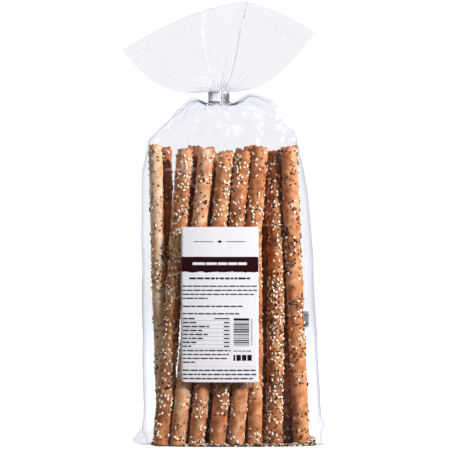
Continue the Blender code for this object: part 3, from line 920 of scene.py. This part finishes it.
def make_label_print():
    """The label's print: a torn dark band, bars for text, a ruled table and a block of stripes."""
    generator = np.random.default_rng(5)
    brown, black, grey, pale, red = (([], []) for _ in range(5))
    half = LABEL_HALF[0]

    def torn(dx):
        wide = 0.8 * noise.noise(Vector((dx / 6.0, 3.0, 0.0)))
        narrow = 0.5 * noise.noise(Vector((dx / 1.8, 7.0, 0.0)))
        return 0.9 + wide + narrow

    ink_patch(brown, -half + 0.15, half - 0.15, 26.0, 36.9, torn)
    # A plain divider ornament heads the label: two rules and a small lozenge.
    for side in (-1.0, 1.0):
        inner, outer = sorted((side * 5.0, side * 20.0))
        ink_patch(black, inner, outer, 48.35, 48.85)
    for step in range(5):
        reach = 1.9 * (1.0 - abs(step - 2) / 2.6)
        ink_patch(black, -reach, reach, 47.55 + 0.42 * step, 47.99 + 0.42 * step)
    # Lines: (left, right, height, thickness, shortest and longest word).
    word_line(grey, -23.5, 23.5, 20.2, 1.5, generator)
    for height, right in ((14.2, 29.0), (11.0, 29.0), (7.9, 28.0), (4.8, -9.0)):
        word_line(grey, -28.6, right, height, 1.0, generator)
    word_line(grey, -28.6, 19.0, -1.4, 1.1, generator)
    word_line(grey, -28.6, 15.0, -7.1, 1.1, generator)
    for step in range(8):
        height = -10.9 - 3.05 * step
        row_end = (-19.0, -18.0, -8.0, -12.0, -8.5, -13.0, -18.0, -22.0)[step]
        word_line(grey, -28.6, row_end, height, 1.1, generator)
        ink_patch(grey, 3.2 if step > 0 else -4.0, 7.6, height - 0.5, height + 0.5)
        ink_patch(grey, -28.6, 8.6, height - 1.62, height - 1.48)
    for step in range(4):
        word_line(grey, -28.6, (8.5, 9.0, 6.0, -18.0)[step], -35.6 - 3.0 * step, 1.0, generator)
    # Stripes lie level in a tall block, with the broadest on top.
    low = -32.0
    while low < -13.2:
        thick = generator.choice((0.35, 0.6, 0.9))
        ink_patch(black, 10.8, 22.8, low, low + thick)
        low += thick + generator.choice((0.4, 0.6, 0.9))
    ink_patch(black, 10.8, 22.8, -12.4, -10.6)
    ink_patch(grey, 24.6, 25.0, -31.5, -11.0)
    word_line(grey, 10.6, 24.4, -35.9, 0.7, generator, (2.0, 4.0))
    for left, right in ((10.6, 12.0), (12.9, 16.4), (17.2, 20.6), (21.4, 24.8)):
        ink_patch(black, left, right, -43.4, -38.8)
    for step in range(38):
        x = -28.4 + 1.5 * step
        ink_patch(red, x, x + 0.8, -47.75, -47.45)
    for height in (-50.8, -54.0, -57.2):
        word_line(grey, -28.6, 28.4 if height > -57.0 else 27.0, height, 1.1, generator)
    word_line(pale, -21.0, 21.0, 31.6, 2.0, generator, (7.0, 13.0))
    inks = [
        ("print_band", brown, paper_material("umber_ink", "#2B0C13", "#1C060B", 0.9, 1.15)),
        ("print_black", black, paper_material("black_ink", "#1A191E", "#100F13", 0.9, 1.15)),
        ("print_text", grey, paper_material("text_ink", "#34313A", "#26232B", 0.9, 1.15)),
        ("print_pale", pale, paper_material("unprinted_paper", "#E9E4E6", "#DCD6D8", 0.45)),
        ("print_rule", red, paper_material("rust_ink", "#B98A84", "#A8756F", 0.5)),
    ]
    for name, (verts, faces), mat in inks:
        if name == "print_pale":
            verts = [(x, y - INK_LIFT, z) for x, y, z in verts]
        piece = new_piece(name, verts, faces, mat)
        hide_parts("label")


def make_sticker():
    """A small sticker on the back, near the right side, with plain darker bands."""
    middle_z = (sticker_low[2] + sticker_high[2]) / 2.0
    half = (13.0, (sticker_high[2] - sticker_low[2]) / 2.0)
    angles = np.linspace(0.0, np.pi / 2.0, 500)[1:]
    heights = np.concatenate([
        -half[1] + 2.0 * (1 - np.cos(np.linspace(0.0, np.pi / 2, 6))),
        np.linspace(-half[1] + 2.0, half[1] - 2.0, 16)[1:-1],
        half[1] - 2.0 * (1 - np.cos(np.linspace(np.pi / 2, 0.0, 6)))])
    columns = 40

    def sheet_points(lift):
        found = []
        for dz in heights:
            curve = ring(station_at_height(middle_z + dz), angles)
            curve = curve[np.argmin(np.abs(curve[:, 0] - sticker_high[0])):]
            run = np.concatenate([[0.0], np.cumsum(np.linalg.norm(np.diff(curve, axis=0), axis=1))])
            reach = rounded_half_width(dz, half, 2.0)
            for dx in np.linspace(reach, -reach, columns):
                spot = np.array([np.interp(half[0] - dx, run, curve[:, k]) for k in range(3)])
                ahead = np.array([np.interp(half[0] - dx + 0.5, run, curve[:, k]) for k in range(3)])
                way = ahead - spot
                outward = np.array([way[1], -way[0], 0.0]) / max(np.linalg.norm(way), 1e-6)
                found.append(spot + outward * lift)
        return found

    verts = sheet_points(PAPER_LIFT)
    faces = grid_faces(len(heights), columns, closed=False)
    plain = paper_material("blue_grey_paper", "#D3D7E2", "#C6CAD6", 0.5, thin=0.5)
    band = paper_material("slate_ink", "#949AAE", "#868CA0", 0.5, thin=0.5)
    sticker = new_piece("sticker", verts, faces, [plain, band])
    for face in sticker.data.polygons:
        dz = face.center.z / MM - middle_z
        if any(abs(dz - stripe) < 0.75 for stripe in (3.2, -3.6)):
            face.material_index = 1
    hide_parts("date_sticker")


def make_clip_band(mat):
    """The clip band: a flat strip with a wire in each edge, bent round the neck and open in front."""
    left, right = tie_low[0] + 0.45, tie_high[0] - 0.45
    back = tie_high[1] - 0.45
    corner = 4.6
    arc = np.linspace(0.0, np.pi / 2.0, 15)

    def bend(cx, cy, start):
        return [(cx + corner * math.cos(start - a), cy + corner * math.sin(start - a)) for a in arc]

    path = [(-5.6, -back), (-7.0, -back)]
    path += bend(left + corner, -back + corner, -math.pi / 2.0)
    path += bend(left + corner, back - corner, math.pi)
    path += bend(right - corner, back - corner, math.pi / 2.0)
    path += [(right, -1.0), (right + 0.1, -4.0), (right - 0.1, tie_low[1] + 0.1)]
    path = np.array(path)
    top = tie_high[2] - tie_low[2]
    wire = 0.45
    turn = np.linspace(-0.8 * math.pi, 0.8 * math.pi, 9)
    low_wire = [(wire * math.sin(a), wire - wire * math.cos(a)) for a in turn]
    section = low_wire + [(-w, top - h) for w, h in low_wire]
    verts = []
    for k, (x, y) in enumerate(path):
        before, after = path[max(k - 1, 0)], path[min(k + 1, len(path) - 1)]
        way = (after - before) / np.linalg.norm(after - before)
        out = np.array([-way[1], way[0]])
        for w, h in section:
            verts.append((x + out[0] * w, y + out[1] * w, tie_low[2] + h))
    count = len(section)
    faces = grid_faces(len(path), count, closed=True)
    faces += [list(reversed(range(count))), list(range((len(path) - 1) * count, len(path) * count))]
    band = new_piece("clip_band", verts, faces, mat)
    for face in band.data.polygons:
        middle = face.center.z / MM
        if min(middle - tie_low[2], tie_high[2] - middle) < 1.0:
            face.material_index = 1
    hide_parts("tie")


# ---------------------------------------------------------------- studio

def make_studio():
    bpy.ops.mesh.primitive_plane_add(size=8.0, location=(0.0, 0.0, -0.0002))
    floor = bpy.context.object
    floor.name = "studio_floor"
    mat, tree = new_material("white_studio_floor")
    matt = add_node(tree, "ShaderNodeBsdfDiffuse", Color=(0.18, 0.18, 0.18, 1.0)).outputs[0]
    seen = add_node(tree, "ShaderNodeLightPath").outputs["Is Camera Ray"]
    level = add_node(tree, "ShaderNodeMapRange", Value=seen, To_Min=0.02, To_Max=1.0).outputs["Result"]
    glow = add_node(tree, "ShaderNodeEmission", Color=(1.0, 1.0, 1.0, 1.0), Strength=level).outputs[0]
    close_material(tree, add_node(tree, "ShaderNodeAddShader", i0=matt, i1=glow).outputs[0])
    floor.data.materials.append(mat)

    # A white sweep behind and a dark room in front: the film's edges mirror white, its face mirrors the dark.
    world = bpy.data.worlds.new("white_sweep")
    bpy.context.scene.world = world
    world.use_nodes = True
    tree = world.node_tree
    tree.nodes.clear()
    around = add_node(tree, "ShaderNodeTexCoord").outputs["Generated"]
    back = add_node(tree, "ShaderNodeSeparateXYZ", Vector=around).outputs["Y"]
    sweep = add_node(tree, "ShaderNodeMapRange", Value=back, From_Min=-0.90, From_Max=0.20,
                     To_Min=0.02, To_Max=1.0).outputs["Result"]
    path = add_node(tree, "ShaderNodeLightPath")
    matt_share = add_node(tree, "ShaderNodeMapRange", Value=path.outputs["Is Diffuse Ray"],
                          To_Min=1.0, To_Max=0.03).outputs["Result"]
    seen_by_others = add_node(tree, "ShaderNodeMath", {"operation": "MULTIPLY"},
                              i0=sweep, i1=matt_share).outputs[0]
    level = add_node(tree, "ShaderNodeMapRange", Value=path.outputs["Is Camera Ray"],
                     To_Min=seen_by_others, To_Max=1.05).outputs["Result"]
    sky = add_node(tree, "ShaderNodeBackground", Color=(1.0, 1.0, 1.0, 1.0), Strength=level).outputs[0]
    add_node(tree, "ShaderNodeOutputWorld", Surface=sky)

    # A key light high on the right, a weak one on the left, thin strips at the sides and one box behind.
    for name, spot, aim, size, power in (
            ("right_key", (1.25, -0.84, 1.02), (0.0, 0.0, 0.13), (0.32, 0.32), 58.0),
            ("left_fill", (-0.90, -0.70, 0.95), (0.0, 0.0, 0.15), (0.45, 0.45), 3.4),
            ("left_strip", (-1.00, -0.40, 0.30), (0.0, 0.0, 0.16), (0.12, 0.8), 1.0),
            ("right_strip", (1.00, -0.35, 0.30), (0.0, 0.0, 0.16), (0.12, 0.8), 1.5),
            ("top_box", (0.0, 0.10, 1.20), (0.0, 0.0, 0.2), (0.5, 0.4), 1.5),
            ("back_box", (0.55, 1.25, 0.70), (0.0, 0.0, 0.15), (0.6, 0.6), 10.0)):
        light = bpy.data.lights.new(name, "AREA")
        light.shape = "RECTANGLE"
        light.size, light.size_y = size
        light.energy = power
        lamp = bpy.data.objects.new(name, light)
        lamp.location = spot
        lamp.rotation_euler = (Vector(aim) - Vector(spot)).to_track_quat("-Z", "Y").to_euler()
        bpy.context.collection.objects.link(lamp)


def make_camera():
    """Level with the middle of the bag, far enough back that it looks straight on."""
    distance, seen_height = 1.40, 0.354
    camera_data = bpy.data.cameras.new("camera")
    camera_data.sensor_width = 36.0
    camera_data.lens = camera_data.sensor_width * distance / seen_height
    camera = bpy.data.objects.new("camera", camera_data)
    camera.location = (-0.0012, -distance, 0.1725)
    camera.rotation_euler = (math.pi / 2.0, 0.0, 0.0)
    bpy.context.collection.objects.link(camera)
    bpy.context.scene.camera = camera
    bpy.context.scene.view_settings.view_transform = "Standard"


make_film_body(film_material("clear_polypropylene_film", 0.0, 0.005, "#F6F7FA"))
make_film_fan(film_material("clear_polypropylene_fan", 0.005, 0.03, "#F8F8FA"))
make_contents()
make_label(paper_material("coated_white_label", "#E3E0E5", "#DEDBE1"))
make_label_print()
make_sticker()
make_clip_band([clip_material("coated_clip_band", "#C4C5CC", "#DEDFE6"),
                clip_material("wire_edge_of_clip", "#55565E", "#74757E")])
make_studio()
make_camera()
